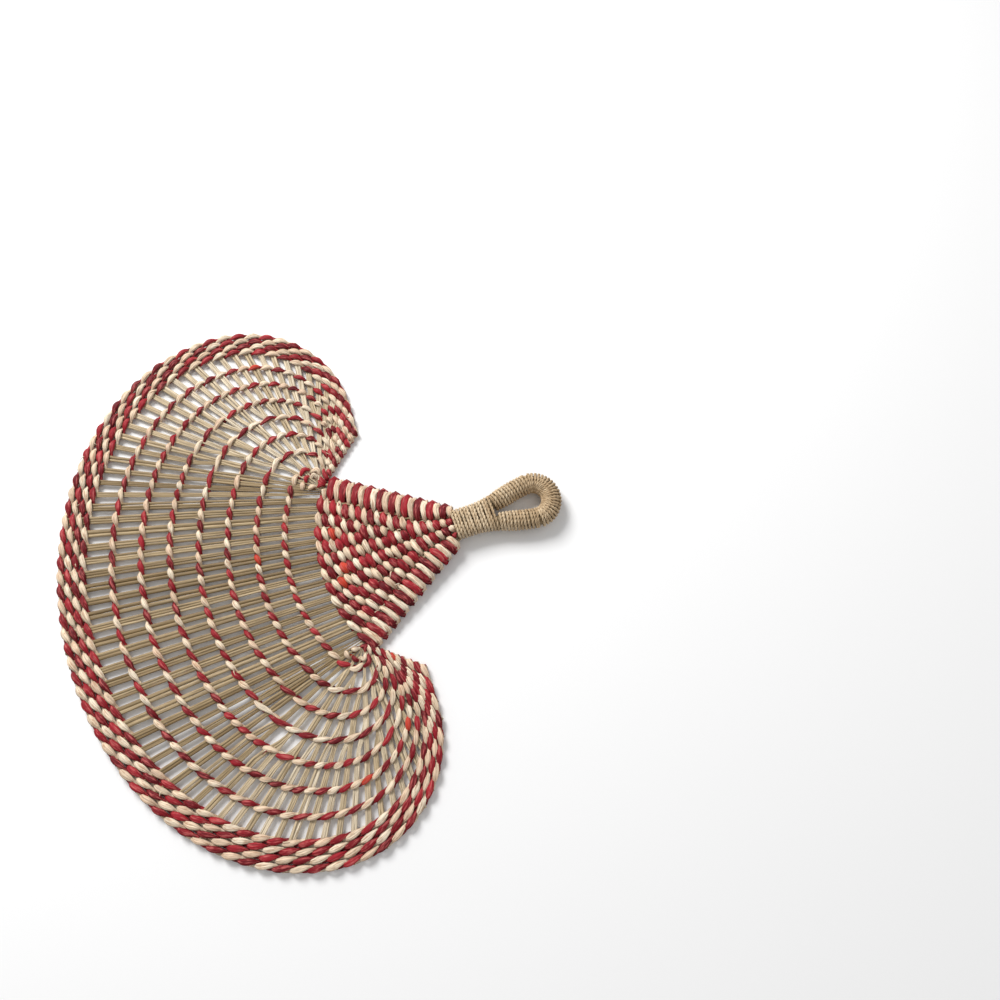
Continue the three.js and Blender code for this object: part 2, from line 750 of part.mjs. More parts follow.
// Puts the origin under the middle of the whole fan.
const box = new THREE.Box3().setFromObject(fan);
const middle = box.getCenter(new THREE.Vector3());
fan.position.set(-middle.x, -middle.y, 0);
const part = new THREE.Group();
part.add(fan);

export default part;
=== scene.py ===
import json
import math
import random

import bpy
from mathutils import Matrix, Vector

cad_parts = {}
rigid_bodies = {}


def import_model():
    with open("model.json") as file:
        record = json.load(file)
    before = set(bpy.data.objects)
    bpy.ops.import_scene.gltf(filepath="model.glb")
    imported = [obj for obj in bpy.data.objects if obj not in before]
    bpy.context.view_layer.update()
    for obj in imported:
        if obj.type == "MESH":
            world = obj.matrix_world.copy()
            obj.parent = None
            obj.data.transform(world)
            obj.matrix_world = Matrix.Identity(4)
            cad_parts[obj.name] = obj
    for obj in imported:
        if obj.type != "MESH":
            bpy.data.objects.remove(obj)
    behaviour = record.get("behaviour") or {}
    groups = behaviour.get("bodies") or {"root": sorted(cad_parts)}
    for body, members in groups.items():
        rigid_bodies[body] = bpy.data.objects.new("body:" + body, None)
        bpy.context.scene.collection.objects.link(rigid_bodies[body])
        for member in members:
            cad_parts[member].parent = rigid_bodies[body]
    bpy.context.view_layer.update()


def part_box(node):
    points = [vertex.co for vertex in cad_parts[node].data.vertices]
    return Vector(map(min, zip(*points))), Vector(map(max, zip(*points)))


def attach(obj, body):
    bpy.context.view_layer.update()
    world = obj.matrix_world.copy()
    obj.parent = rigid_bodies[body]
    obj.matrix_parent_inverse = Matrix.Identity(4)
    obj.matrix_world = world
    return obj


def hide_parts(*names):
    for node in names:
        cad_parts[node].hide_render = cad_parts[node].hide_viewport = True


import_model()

# A hand fan of straw ribs, bound by rows of two twined strips, with a close panel and a wound loop handle.
# Sizes are in mm, and places are from the neck, where the handle meets the panel.
rng = random.Random(7)
PER_METRE = 1000

# Outline of the blade. It leans by a share of its height.
HALF_WIDTH = 175
WIDEST_Y = 115
CROWN_RISE = 133
LOBE_RADIUS = 72
LOBE_FOOT = 26
LEAN = 0.055
CROWN_STEPS = 180
LOBE_STEPS = 90

# The close panel, a sector about a point below the neck. Half thickness at its front edge and at the neck.
PANEL_RADIUS = 105
PANEL_HALF = math.radians(33.5)
NECK_WIDTH = 19.6
SECTOR_Y = -NECK_WIDTH / 2 / math.tan(PANEL_HALF)
FRONT_THICK = 1.0
NECK_THICK = 3.2
COLUMNS = 10
COLUMN_STEPS = 12
COLUMN_STRAWS = (-0.25, 0.25)
COLUMN_START = 1.5
COLUMN_SHORT = 2
COLUMN_FILL = 0.46
COLUMN_SCALE = 0.95

# Rows of the panel: long stitches over its sides, shorter ones between.
PANEL_ROWS = 21
PANEL_FIRST = 18.5
PANEL_PITCH = 4.15
PANEL_STITCH = 8.4
PANEL_CLEAR = 0.5
PANEL_WANDER = 0.25
PANEL_WAVE = 0.95
PANEL_NARROW = 0.44
EDGE_STITCH = 13.5
EDGE_MOST = 0.3
EDGE_FAT = 0.88
WRAP_OUT = 0.6
WRAP_SCALE = 1.25

# Ribs, counted on each side of the middle. Birth is the share of its length at which a branch leaves
# its neighbour.
CENTRE_RIBS = 9
LOBE_RIBS = 30
HALF_RIBS = CENTRE_RIBS + LOBE_RIBS
CENTRE_STEP = math.radians(2.98)
CORNER = math.radians(30.6)
CORNER_FIRST = math.radians(27.6)
CORNER_RIBS = 4
CROWN_PITCH = 9.2
EARLY_BIRTH = (0.08, 0.16)
LATE_BIRTH = (0.34, 0.46)
EARLY_CLEAR = 0.14
LATE_CLEAR = 0.44
BRANCH_RUN = 0.16
BRANCH_BOUND = 0.6
BUNDLES = 6
BLADE_Z = 2.6
CENTRE_PALE = 0.1
LOBE_PALE = 0.78

# Straws of a rib: half width and half thickness of one. A band is the scale of all of them together.
STRAW = (0.95, 0.56)
STRAW_SIDES = 8
STRAW_STEP = 7
STRAW_LEAST_STEPS = 5
STRIP_SHARE = 0.65
STRIP_SCALE = 0.72
STRIP_SPREAD = 1.6
TRIPLE_SHARE = 0.5
CENTRE_BAND = 2.7
LOBE_BAND = 2.05
BAND_VARIES = (0.93, 1.07)
ROOT_SPREAD = 1.9
STRAW_SPREAD = (1.8, 2.05)
CENTRE_ROOT = 9
LOBE_ROOT = 3
LEAST_ROOM = 0.03
RIB_FILL = 0.7
BRANCH_THIN = 0.55
BRANCH_FILL = 0.5
STRAW_SWAY = 0.06
STRAW_BEND = 0.2
STRAW_LIFT = (-0.2, 0.15)
STRAW_END = (0.4, 1.4)
RIB_TONES = (-0.1, 0.25)
STRIP_TONES = (-0.05, 0.05)
STRAW_TONES = (-0.2, 0.25)

# Rows across the ribs, and the half width and half thickness of their strips.
OPEN_ROWS = 7
RIM_ROWS = 4
RIM_PITCH = 4.5
RIM_MARGIN = 2.6
LEAST_STITCH = 5.4
CORNER_STITCH = 4.4
CORNER_ROWS = (0.3, 0.64)
STRAND = (1.55, 0.7)
RIM_STRAND = (1.75, 0.75)
PANEL_STRANDS = {"red": (2.35, 1.1), "natural": (2.0, 1.1)}
RIDGES = 7
RIDGE = 0.13
RIDGE_SIDES = 3

# How a strip lies over the ribs: its height, its swing to both sides, how loose and how narrow it is.
ROW_HIGH = 1.4
OPEN_WAVE = 0.9
RIM_WAVE = 0.95
OPEN_LOOSE = 0.35
RIM_LOOSE = 0.12
ROW_NARROW = 0.52
FULL_ROOM = 4.0
LEAST_FAT = 0.75
CORNER_FAT = 0.95
ROW_END = 2.4
ROW_END_DROP = 0.6
ROW_END_WAVE = 0.4
ROW_END_NARROW = 0.8
STITCH_STEPS = 6
STITCH_ARCH = 0.65
STITCH_SWELL = (0.9, 1.1)

# The share of stitches in the brightest tone, and the most of the other tones.
OPEN_BRIGHT = 0.03
RIM_BRIGHT = 0.005
PANEL_BRIGHT = 0.04
PLAIN_TONE = 0.92

# Loose ends of fibre.
STRAY_LENGTH = (2.5, 5.0)
STRAY_SCALE = (0.24, 0.06)
STRAY_STEPS = 4
ROW_STRAYS = {"red": 1, "natural": 2}
PANEL_STRAYS = 4
STRAY_HIGH = 0.8
STRAY_RISE = 1.2

# The handle: a straw bundle bent into a loop. Its limbs part from a depth below the neck until past the
# start of the bend, and swell between two depths.
HANDLE_Z = 7.12
HANDLE_TOP = 1
LIMB_X = 11.84
STEM_X = 3.9
BEND_Y = -50.8
PART_FROM = 9
PART_PAST = 4
SWELL = (24, 34)
LIMB_HALF = 4.7
STEM_HALF = 3.7
LIMB_HIGH = 4.4
LIMB_STEPS = 60
BEND_STEPS = 48
CORE_EVERY = 3
CORE_SIDES = 16
CORE_TONE = 0.2

# The cord round the handle, of two plies. Its turns are closer round the bend.
CORD = 1.0
CORD_PITCH = 2.1
CORD_SWAY = 0.25
CORD_TOP = 1.2
STEM_END = -25.5
STEM_TURN = 72
STEM_SIDES = 0.7
STEM_FACES = 0.45
LOOP_TURN = 48
BEND_TURNS = 1.3
PLY = 0.62
PLY_SIDES = 7
PLY_TWIST = 5.0
PLY_TONE = 0.1
CORD_TONES = (0.1, 0.9)
CORD_TONE_STEP = 0.06

# How fibres show on straw and cord. Levels map a range of noise to a range of strength.
GRAIN_SHIFT = 500
FIBRE_DETAIL = 4.0
FIBRE_NOISE = (0.3, 0.7)
FIBRE_SHADE = (0.52, 1.26)
STREAK_STRETCH = (1.7, 0.6, 0.6)
STREAK_DETAIL = 2.0
STREAK_NOISE = (0.5, 0.64)
STREAK_SHARE = (0.0, 0.75)
NOISE_ROUGHNESS = 0.6
STRAW_SPECULAR = 0.22
FIBRE_BUMP = 0.9

# Places of the colour sockets on a Mix node.
MIX_FACTOR, MIX_A, MIX_B, MIX_RESULT = 0, 6, 7, 2

# Place of the neck in the shared frame, in metres, just clear of the loop's ends.
LOOP_CLEAR = 0.00035
loop_lo, loop_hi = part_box("handle_loop")
NECK = Vector(((loop_lo.x + loop_hi.x) / 2, loop_hi.y + LOOP_CLEAR, 0))


def lerp(a, b, f):
    return a + (b - a) * f


def smoothstep(x, lo, hi):
    f = min(max((x - lo) / (hi - lo), 0), 1)
    return f * f * (3 - 2 * f)


def signed_power(value, power):
    return math.copysign(abs(value) ** power, value)


# A place on the sector that the panel is cut from.
def polar(radius, angle):
    return Vector((radius * math.sin(angle), SECTOR_Y + radius * math.cos(angle)))


# How far back on the panel a radius lies, from 0 at its front edge to 1 at the neck.
def back_share(radius):
    return min(max((PANEL_RADIUS - radius) / (PANEL_RADIUS + SECTOR_Y), 0), 1)


def panel_z(radius):
    return lerp(BLADE_Z, HANDLE_Z, back_share(radius))


def panel_thick(radius):
    return lerp(FRONT_THICK, NECK_THICK, back_share(radius))


# Half of the outline as points, from the crown to the inner end of the right lobe.
def half_outline():
    points = []
    for i in range(CROWN_STEPS + 1):
        a = math.pi / 2 * (1 - i / CROWN_STEPS)
        points.append(Vector((HALF_WIDTH * math.cos(a), WIDEST_Y + CROWN_RISE * math.sin(a))))
    lobe = HALF_WIDTH - LOBE_RADIUS
    for i in range(1, LOBE_STEPS + 1):
        a = -math.pi / 2 * i / LOBE_STEPS
        points.append(Vector((lobe + LOBE_RADIUS * math.cos(a), WIDEST_Y + LOBE_RADIUS * math.sin(a))))
    points.append(Vector((lobe - LOBE_FOOT, WIDEST_Y - LOBE_RADIUS)))
    return points


OUTLINE = half_outline()
RUNS = [0.0]
for a, b in zip(OUTLINE, OUTLINE[1:]):
    RUNS.append(RUNS[-1] + (b - a).length)
TIP_PITCH = 2 * RUNS[-1] / HALF_RIBS - CROWN_PITCH


# The point of the outline at a distance from the crown.
def outline_at(run):
    i = 1
    while i < len(RUNS) - 1 and RUNS[i] < run:
        i += 1
    f = min((run - RUNS[i - 1]) / (RUNS[i] - RUNS[i - 1]), 1)
    return OUTLINE[i - 1].lerp(OUTLINE[i], f)


class Rib:
    """A rib from the panel to the outline. A branch leaves a neighbouring rib on the way out."""

    def __init__(self, side, index):
        n = index + 0.5
        self.centre = index < CENTRE_RIBS
        run = CROWN_PITCH * n + (TIP_PITCH - CROWN_PITCH) * n * n / (2 * HALF_RIBS)
        end = outline_at(run)
        self.end = Vector((side * end.x + LEAN * end.y, end.y))
        lobe_angle = lerp(CORNER_FIRST, CORNER, min((index - CENTRE_RIBS) / CORNER_RIBS, 1))
        self.root = polar(PANEL_RADIUS, side * (n * CENTRE_STEP if self.centre else lobe_angle))
        self.length = (self.end - self.root).length
        self.line = (self.end - self.root) / self.length
        self.parent, self.birth = None, 0
        lobe_share = smoothstep(index, CENTRE_RIBS, CENTRE_RIBS + LOBE_RIBS / 3)
        self.pale = lerp(CENTRE_PALE, LOBE_PALE, lobe_share)

    # The rib's middle at a share of its length.
    def point(self, share):
        own = self.root + self.line * (self.length * share)
        if not self.parent:
            return own
        return self.parent.point(share).lerp(own, smoothstep(share, self.birth, self.birth + BRANCH_RUN))

    # The share of its length at which a row crosses it.
    def share(self, row):
        clear = self.length - RIM_MARGIN - (RIM_ROWS - 1) * RIM_PITCH
        run = clear * min(row, OPEN_ROWS + 1) / (OPEN_ROWS + 1) + max(row - OPEN_ROWS - 1, 0) * RIM_PITCH
        return run / self.length

    # Whether the rib stands far enough from its parent to be bound by a row.
    def reaches(self, row):
        return not self.parent or self.share(row) > self.birth + BRANCH_BOUND * BRANCH_RUN


# Ribs of one side from the crown to the inner end of the lobe. Past the first few of a lobe, every fourth
# one starts at the panel's corner, and the others branch off.
def side_ribs(side):
    laid = [Rib(side, i) for i in range(HALF_RIBS)]
    for i in range(CENTRE_RIBS + CORNER_RIBS, HALF_RIBS):
        rank = HALF_RIBS - 1 - i
        if rank % 2:
            laid[i].parent, laid[i].birth = laid[i + 1], rng.uniform(*LATE_BIRTH)
        elif rank % 4:
            laid[i].parent, laid[i].birth = laid[i + 2], rng.uniform(*EARLY_BIRTH)
    return laid


ribs = {side: side_ribs(side) for side in (1, -1)}


# Angles of a section's corners, in the order in which the sweep lays its points.
def corner_angles(sides):
    return [-2 * math.pi * i / sides for i in range(sides)]


# An oval section. Ridges are the fibre bundles that stand out along a strip.
def oval_section(name, half, sides, ridges):
    profile = bpy.data.curves.new(name + "_section", "CURVE")
    profile.dimensions = "2D"
    ring = profile.splines.new("POLY")
    ring.points.add(sides - 1)
    for point, a in zip(ring.points, corner_angles(sides)):
        r = (1 + (RIDGE * math.cos(ridges * a) if ridges else 0)) / PER_METRE
        point.co = (half[0] * r * math.cos(a), half[1] * r * math.sin(a), 0, 1)
    ring.use_cyclic_u = True
    section = bpy.data.objects.new(name + "_section", profile)
    bpy.context.scene.collection.objects.link(section)
    return section


# Lays each run as a spline. A run is a list of points (x, y, z, scale, tone).
def strand_curve(name, runs, section, flat):
    curve = bpy.data.curves.new(name, "CURVE")
    curve.dimensions = "3D"
    curve.twist_mode = "Z_UP" if flat else "MINIMUM"
    curve.bevel_mode = "OBJECT"
    curve.bevel_object = section
    for run in runs:
        spline = curve.splines.new("POLY")
        spline.points.add(len(run) - 1)
        for point, (x, y, z, scale, _) in zip(spline.points, run):
            point.co = (x / PER_METRE + NECK.x, y / PER_METRE + NECK.y, z / PER_METRE, 1)
            point.radius = scale
    obj = bpy.data.objects.new(name, curve)
    bpy.context.scene.collection.objects.link(obj)
    return obj


# Tone and grain of each point of the swept runs. Grain is the distance along a run and the place round it.
def fibre_values(runs, sides):
    tones, grains = [], []
    for run in runs:
        shift, along, last = rng.uniform(0, GRAIN_SHIFT), 0.0, None
        for x, y, z, _, tone in run:
            here = Vector((x, y, z))
            along += (here - last).length if last else 0
            last = here
            for a in corner_angles(sides):
                tones.append(tone)
                grains.extend((along + shift, math.cos(a), math.sin(a)))
    return tones, grains


# Closes the open ends of the tubes and turns every face outwards.
def close_ends():
    bpy.ops.object.mode_set(mode="EDIT")
    bpy.ops.mesh.select_all(action="SELECT")
    bpy.ops.mesh.fill_holes(sides=0)
    bpy.ops.mesh.select_all(action="SELECT")
    bpy.ops.mesh.normals_make_consistent(inside=False)
    bpy.ops.object.mode_set(mode="OBJECT")


# Makes one mesh of closed strands, one for each run.
def sweep(name, runs, half, sides, flat=True, ridges=0):
    section = oval_section(name, half, sides, ridges)
    profile = section.data
    obj = strand_curve(name, runs, section, flat)
    tones, grains = fibre_values(runs, sides)
    bpy.ops.object.select_all(action="DESELECT")
    obj.select_set(True)
    bpy.context.view_layer.objects.active = obj
    bpy.ops.object.convert(target="MESH")
    obj = bpy.context.view_layer.objects.active
    obj.data.attributes.new("tone", "FLOAT", "POINT").data.foreach_set("value", tones)
    obj.data.attributes.new("grain", "FLOAT_VECTOR", "POINT").data.foreach_set("vector", grains)
    close_ends()
    bpy.ops.object.shade_smooth()
    bpy.data.objects.remove(section)
    bpy.data.curves.remove(profile)
    return obj


def srgb(r, g, b):
    def linear(c):
        c /= 255
        return c / 12.92 if c <= 0.04045 else ((c + 0.055) / 1.055) ** 2.4
    return (linear(r), linear(g), linear(b), 1)


class FibreNodes:
    """The nodes of one straw or cord material. They read a piece's tone and grain."""

    def __init__(self, name):
        self.material = bpy.data.materials.new(name)
        self.material.use_nodes = True
        self.nodes = self.material.node_tree.nodes
        self.links = self.material.node_tree.links
        self.shader = self.nodes["Principled BSDF"]
        self.grain = self.attribute("grain").outputs["Vector"]

    def attribute(self, name):
        node = self.nodes.new("ShaderNodeAttribute")
        node.attribute_name = name
        return node

    # The colour of a stem or stitch, from its tone.
    def tone_colour(self, stops):
        ramp = self.nodes.new("ShaderNodeValToRGB")
        elements = ramp.color_ramp.elements
        for element, (place, colour) in zip(elements, (stops[0], stops[-1])):
            element.position = place
            element.color = srgb(*colour)
        for place, colour in stops[1:-1]:
            elements.new(place).color = srgb(*colour)
        self.links.new(self.attribute("tone").outputs["Fac"], ramp.inputs["Fac"])
        return ramp.outputs["Color"]

    # Noise drawn out along the fibres.
    def noise_along(self, scale, detail):
        stretch = self.nodes.new("ShaderNodeVectorMath")
        stretch.operation = "MULTIPLY"
        stretch.inputs[1].default_value = scale
        self.links.new(self.grain, stretch.inputs[0])
        noise = self.nodes.new("ShaderNodeTexNoise")
        noise.inputs["Scale"].default_value = 1.0
        noise.inputs["Detail"].default_value = detail
        noise.inputs["Roughness"].default_value = NOISE_ROUGHNESS
        self.links.new(stretch.outputs["Vector"], noise.inputs["Vector"])
        return noise.outputs["Fac"]

    # Maps one range of values to another.
    def level(self, value, found, wanted):
        node = self.nodes.new("ShaderNodeMapRange")
        node.inputs["From Min"].default_value = found[0]
        node.inputs["From Max"].default_value = found[1]
        node.inputs["To Min"].default_value = wanted[0]
        node.inputs["To Max"].default_value = wanted[1]
        self.links.new(value, node.inputs["Value"])
        return node.outputs["Result"]

    # Lays a second colour over the first where the share is high.
    def mixed(self, share, first, second):
        mix = self.nodes.new("ShaderNodeMix")
        mix.data_type = "RGBA"
        mix.inputs[MIX_B].default_value = second
        self.links.new(share, mix.inputs[MIX_FACTOR])
        self.links.new(first, mix.inputs[MIX_A])
        return mix.outputs[MIX_RESULT]

    def shaded(self, colour, strength):
        node = self.nodes.new("ShaderNodeVectorMath")
        node.operation = "SCALE"
        self.links.new(colour, node.inputs[0])
        self.links.new(strength, node.inputs["Scale"])
        return node.outputs["Vector"]

    def bump(self, height, depth):
        node = self.nodes.new("ShaderNodeBump")
        node.inputs["Strength"].default_value = FIBRE_BUMP
        node.inputs["Distance"].default_value = depth
        self.links.new(height, node.inputs["Height"])
        return node.outputs["Normal"]


# A colour for each stem or stitch, with streaks and fibres along it. Fibre is the scale of its noise.
def fibre_material(name, stops, streak, fibre, roughness, depth):
    tree = FibreNodes(name)
    tree.shader.inputs["Roughness"].default_value = roughness
    tree.shader.inputs["Specular IOR Level"].default_value = STRAW_SPECULAR
    fibres = tree.noise_along(fibre, FIBRE_DETAIL)
    streaks = tree.noise_along([f * s for f, s in zip(fibre, STREAK_STRETCH)], STREAK_DETAIL)
    streaked = tree.level(streaks, STREAK_NOISE, STREAK_SHARE)
    colour = tree.mixed(streaked, tree.tone_colour(stops), srgb(*streak))
    colour = tree.shaded(colour, tree.level(fibres, FIBRE_NOISE, FIBRE_SHADE))
    tree.links.new(colour, tree.shader.inputs["Base Color"])
    tree.links.new(tree.bump(fibres, depth), tree.shader.inputs["Normal"])
    return tree.material


materials = {
    "straw": fibre_material(
        "dry_straw",
        stops=[
            (0.0, (132, 110, 76)),
            (0.4, (180, 158, 122)),
            (0.75, (210, 190, 157)),
            (1.0, (231, 215, 188)),
        ],
        streak=(136, 113, 82),
        fibre=(0.05, 2.2, 2.2),
        roughness=0.45,
        depth=0.0003,
    ),
    "red_strand": fibre_material(
        "red_straw_strip",
        stops=[
            (0.0, (98, 10, 20)),
            (0.5, (140, 21, 33)),
            (0.93, (166, 34, 45)),
            (0.96, (188, 52, 40)),
            (1.0, (196, 64, 44)),
        ],
        streak=(200, 102, 98),
        fibre=(0.11, 2.6, 2.6),
        roughness=0.6,
        depth=0.0004,
    ),
    "natural_strand": fibre_material(
        "natural_straw_strip",
        stops=[(0.0, (228, 198, 170)), (0.4, (237, 214, 185)), (1.0, (247, 231, 206))],
        streak=(186, 146, 114),
        fibre=(0.11, 2.6, 2.6),
        roughness=0.6,
        depth=0.0004,
    ),
    "handle_cord": fibre_material(
        "fine_cord",
        stops=[(0.0, (184, 157, 122)), (0.5, (212, 187, 152)), (1.0, (236, 215, 182))],
        streak=(160, 131, 97),
        fibre=(0.3, 1.6, 1.6),
        roughness=0.75,
        depth=0.0003,
    ),
}


def settle(obj, node, slot):
    obj.data.materials.clear()
    obj.data.materials.append(materials[slot])
    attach(obj, "root")
    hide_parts(node)


# Room across a rib at a share of its length, up to its neighbours. A lobe's ribs are fewer near the panel.
def rib_room(rib, share):
    if rib.centre:
        return lerp(PANEL_RADIUS * CENTRE_STEP, CROWN_PITCH, share)
    places = 4 if share < EARLY_CLEAR else 2 if share < LATE_CLEAR else 1
    return places * CROWN_PITCH * max(share, LEAST_ROOM)


# The share of a rib's length at which its straws start, inside the panel or inside the rib that it leaves.
def rib_start(rib):
    if rib.parent:
        return rib.birth
    return -(CENTRE_ROOT if rib.centre else LOBE_ROOT) / rib.length


# The straws of one rib, side by side with slight bends, or in the lobes mostly one strip with two creases.
def rib_straws(rib):
    strip = not rib.centre and rng.random() < STRIP_SHARE
    count = 3 if strip or rib.centre and rng.random() < TRIPLE_SHARE else 2
    across = Vector((rib.line.y, -rib.line.x))
    first = rib_start(rib)
    spread = STRIP_SPREAD if strip else rng.uniform(*STRAW_SPREAD)
    band = CENTRE_BAND if rib.centre else LOBE_BAND
    shade = rib.pale + rng.uniform(*RIB_TONES)
    runs = []
    for straw in range(count):
        tone = shade + rng.uniform(*(STRIP_TONES if strip else STRAW_TONES))
        bend, lift = rng.uniform(-STRAW_BEND, STRAW_BEND), rng.uniform(*STRAW_LIFT)
        last = 1 - rng.uniform(*STRAW_END) / rib.length
        wide = STRIP_SCALE if strip else band * rng.uniform(*BAND_VARIES) / count
        steps = max(int((last - first) * rib.length / STRAW_STEP), STRAW_LEAST_STEPS)
        run = []
        for i in range(steps + 1):
            share = lerp(first, last, i / steps)
            scale = wide * min(1, RIB_FILL * rib_room(rib, share) / (2 * STRAW[0] * wide * count))
            if rib.parent:
                full = rib.birth + BRANCH_FILL * BRANCH_RUN
                scale *= lerp(BRANCH_THIN, 1, smoothstep(share, rib.birth, full))
            apart = lerp(min(ROOT_SPREAD, spread), spread, max(share, 0)) * STRAW[0] * scale
            off = (straw - (count - 1) / 2) * apart
            sway = bend * math.sin(math.pi * i / steps) + rng.uniform(-STRAW_SWAY, STRAW_SWAY)
            point = rib.point(share) + across * (off + sway)
            z = BLADE_Z + lift + rng.uniform(-STRAW_SWAY, STRAW_SWAY)
            run.append((point.x, point.y, z, scale, tone))
        runs.append(run)
    return runs


# The two straws of one column of the panel, from the neck to its front edge.
def column_straws(column):
    width = 2 * PANEL_HALF / COLUMNS
    middle = -PANEL_HALF + (column + 0.5) * width
    runs = []
    for straw in COLUMN_STRAWS:
        angle = middle + straw * width
        run = []
        for i in range(COLUMN_STEPS + 1):
            radius = lerp(-SECTOR_Y + COLUMN_START, PANEL_RADIUS - COLUMN_SHORT, i / COLUMN_STEPS)
            point = polar(radius, angle)
            scale = min(radius * width / 2 * COLUMN_FILL / STRAW[0], COLUMN_SCALE)
            run.append((point.x, point.y, panel_z(radius), scale, rng.random()))
        runs.append(run)
    return runs


# Each column goes on past the panel as ribs of the middle. The outer two end at the corners.
def make_columns():
    columns = [column_straws(i) for i in range(COLUMNS)]
    for side in (1, -1):
        for i, rib in enumerate(ribs[side][:CENTRE_RIBS]):
            place = CENTRE_RIBS + i if side > 0 else CENTRE_RIBS - 1 - i
            columns[1 + place * (COLUMNS - 2) // (2 * CENTRE_RIBS)].extend(rib_straws(rib))
    for i, runs in enumerate(columns):
        node = f"straw_column_{i + 1:02d}"
        settle(sweep("real_" + node, runs, STRAW, STRAW_SIDES), node, "straw")


def make_lobes():
    each = LOBE_RIBS // BUNDLES
    for side, word in ((-1, "left"), (1, "right")):
        for bundle in range(BUNDLES):
            first = CENTRE_RIBS + bundle * each
            runs = [run for rib in ribs[side][first:first + each] for run in rib_straws(rib)]
            node = f"lobe_ribs_{word}_{bundle + 1}"
            settle(sweep("real_" + node, runs, STRAW, STRAW_SIDES), node, "straw")


class Knot:
    """One place on a twined row. Turn counts half turns: whole numbers are ribs, halves are crossings."""

    def __init__(self, turn, point, out, z, high, wave, narrow, fat=1):
        self.turn, self.point, self.out = turn, point, out
        self.z, self.high, self.wave = z, high, wave
        self.narrow, self.fat = narrow, fat


# A smooth curve through the knots, at a share of the way from knot k to the next.
def spline_point(knots, k, f):
    p = [knots[min(max(j, 0), len(knots) - 1)].point for j in (k - 1, k, k + 1, k + 2)]
    a = 2 * p[1]
    b = (p[2] - p[0]) * f
    c = (2 * p[0] - 5 * p[1] + 4 * p[2] - p[3]) * f * f
    d = (3 * p[1] - p[0] - 3 * p[2] + p[3]) * f * f * f
    return (a + b + c + d) / 2


# One of the two strands through the knots: over one rib, under the next, narrow where the two cross.
def strand_run(knots, second, bright):
    run, tones, swells = [], {}, {}
    for k in range(len(knots) - 1):
        a, b = knots[k], knots[k + 1]
        narrow = a.narrow if a.turn % 1 else b.narrow
        for s in range(STITCH_STEPS + (k == len(knots) - 2)):
            f = s / STITCH_STEPS
            turn = lerp(a.turn, b.turn, f)
            phase = math.pi * (turn + (1 if second else 0))
            c, w = math.cos(phase), math.sin(phase)
            stitch = math.floor(turn + 0.5)
            tone = tones.setdefault(stitch, 1 if rng.random() < bright else rng.uniform(0, PLAIN_TONE))
            swell = swells.setdefault(stitch, rng.uniform(*STITCH_SWELL))
            point = spline_point(knots, k, f) + a.out.lerp(b.out, f) * lerp(a.wave, b.wave, f) * w
            z = lerp(a.z, b.z, f) + lerp(a.high, b.high, f) * signed_power(c, STITCH_ARCH)
            scale = lerp(narrow, swell, abs(c)) * lerp(a.fat, b.fat, f)
            run.append((point.x, point.y, z, scale, tone))
    return run


# Stops of a row on one side, from the crown outwards. A stitch passes over ribs that lie closer than least.
def half_stops(row, laid, least):
    stops = []
    for rib in laid:
        point = rib.point(rib.share(row))
        if rib.reaches(row) and (not stops or (point - stops[-1][0]).length > least):
            stops.append((point, rib))
    edge = laid[-1]
    if stops[-1][1] is not edge:
        stops[-1] = (edge.point(edge.share(row)), edge)
    return stops


# The knot past the last rib of a row, where the strands turn round it.
def end_knot(turn, last, before):
    point = last[0] + (last[0] - before[0]).normalized() * ROW_END
    return Knot(turn, point, last[1].line, BLADE_Z - ROW_END_DROP, ROW_HIGH, ROW_END_WAVE, ROW_END_NARROW)


# Knots of a twined row over its stops. Rows between the panel and the first row are bindings at a corner.
def row_knots(row, stops):
    loose, wave = (OPEN_LOOSE, OPEN_WAVE) if row <= OPEN_ROWS else (RIM_LOOSE, RIM_WAVE)
    first = math.ceil(row) % 2
    knots = [end_knot(first - 0.5, stops[0], stops[1])]
    for i, (point, rib) in enumerate(stops):
        room = rib.length * (rib.share(row) - rib.share(row - 1))
        fat = min(1, max(room / FULL_ROOM, LEAST_FAT)) if row >= 1 else CORNER_FAT
        point = point + rib.line * rng.uniform(-loose, loose)
        knots.append(Knot(first + i, point, rib.line, BLADE_Z, ROW_HIGH, wave, ROW_NARROW, fat))
        if i + 1 < len(stops):
            middle = (point + stops[i + 1][0]) / 2
            knots.append(Knot(first + i + 0.5, middle, rib.line, BLADE_Z, ROW_HIGH, wave, ROW_NARROW, fat))
    knots.append(end_knot(first + len(stops) - 0.5, stops[-1], stops[-2]))
    return knots


def whole_row(row):
    left, right = (half_stops(row, ribs[side], LEAST_STITCH) for side in (-1, 1))
    return row_knots(row, left[::-1] + right)


# Short bindings at the corner of the panel, over the ribs that start there.
def corner_row(side, row):
    return row_knots(row, half_stops(row, ribs[side][CENTRE_RIBS + CORNER_RIBS - 1:], CORNER_STITCH))


# Loose ends of fibre that stand off a row here and there, away from its ends and turns.
def stray_ends(knots, count):
    runs = []
    for knot in rng.sample([knot for knot in knots if knot.narrow < ROW_END_NARROW], count):
        lean = rng.uniform(0, 2 * math.pi)
        way = Vector((math.cos(lean), math.sin(lean)))
        length = rng.uniform(*STRAY_LENGTH)
        tone = rng.random()
        run = []
        for i in range(STRAY_STEPS + 1):
            f = i / STRAY_STEPS
            point = knot.point + way * (length * f)
            z = knot.z + STRAY_HIGH * knot.high + STRAY_RISE * math.sin(2 * f)
            run.append((point.x, point.y, z, lerp(*STRAY_SCALE, f), tone))
        runs.append(run)
    return runs


# Sweeps the runs of one strand as ridged strips.
def make_strand(node, runs, half, colour):
    piece = sweep("real_" + node, runs, half, RIDGE_SIDES * RIDGES, ridges=RIDGES)
    settle(piece, node, colour + "_strand")


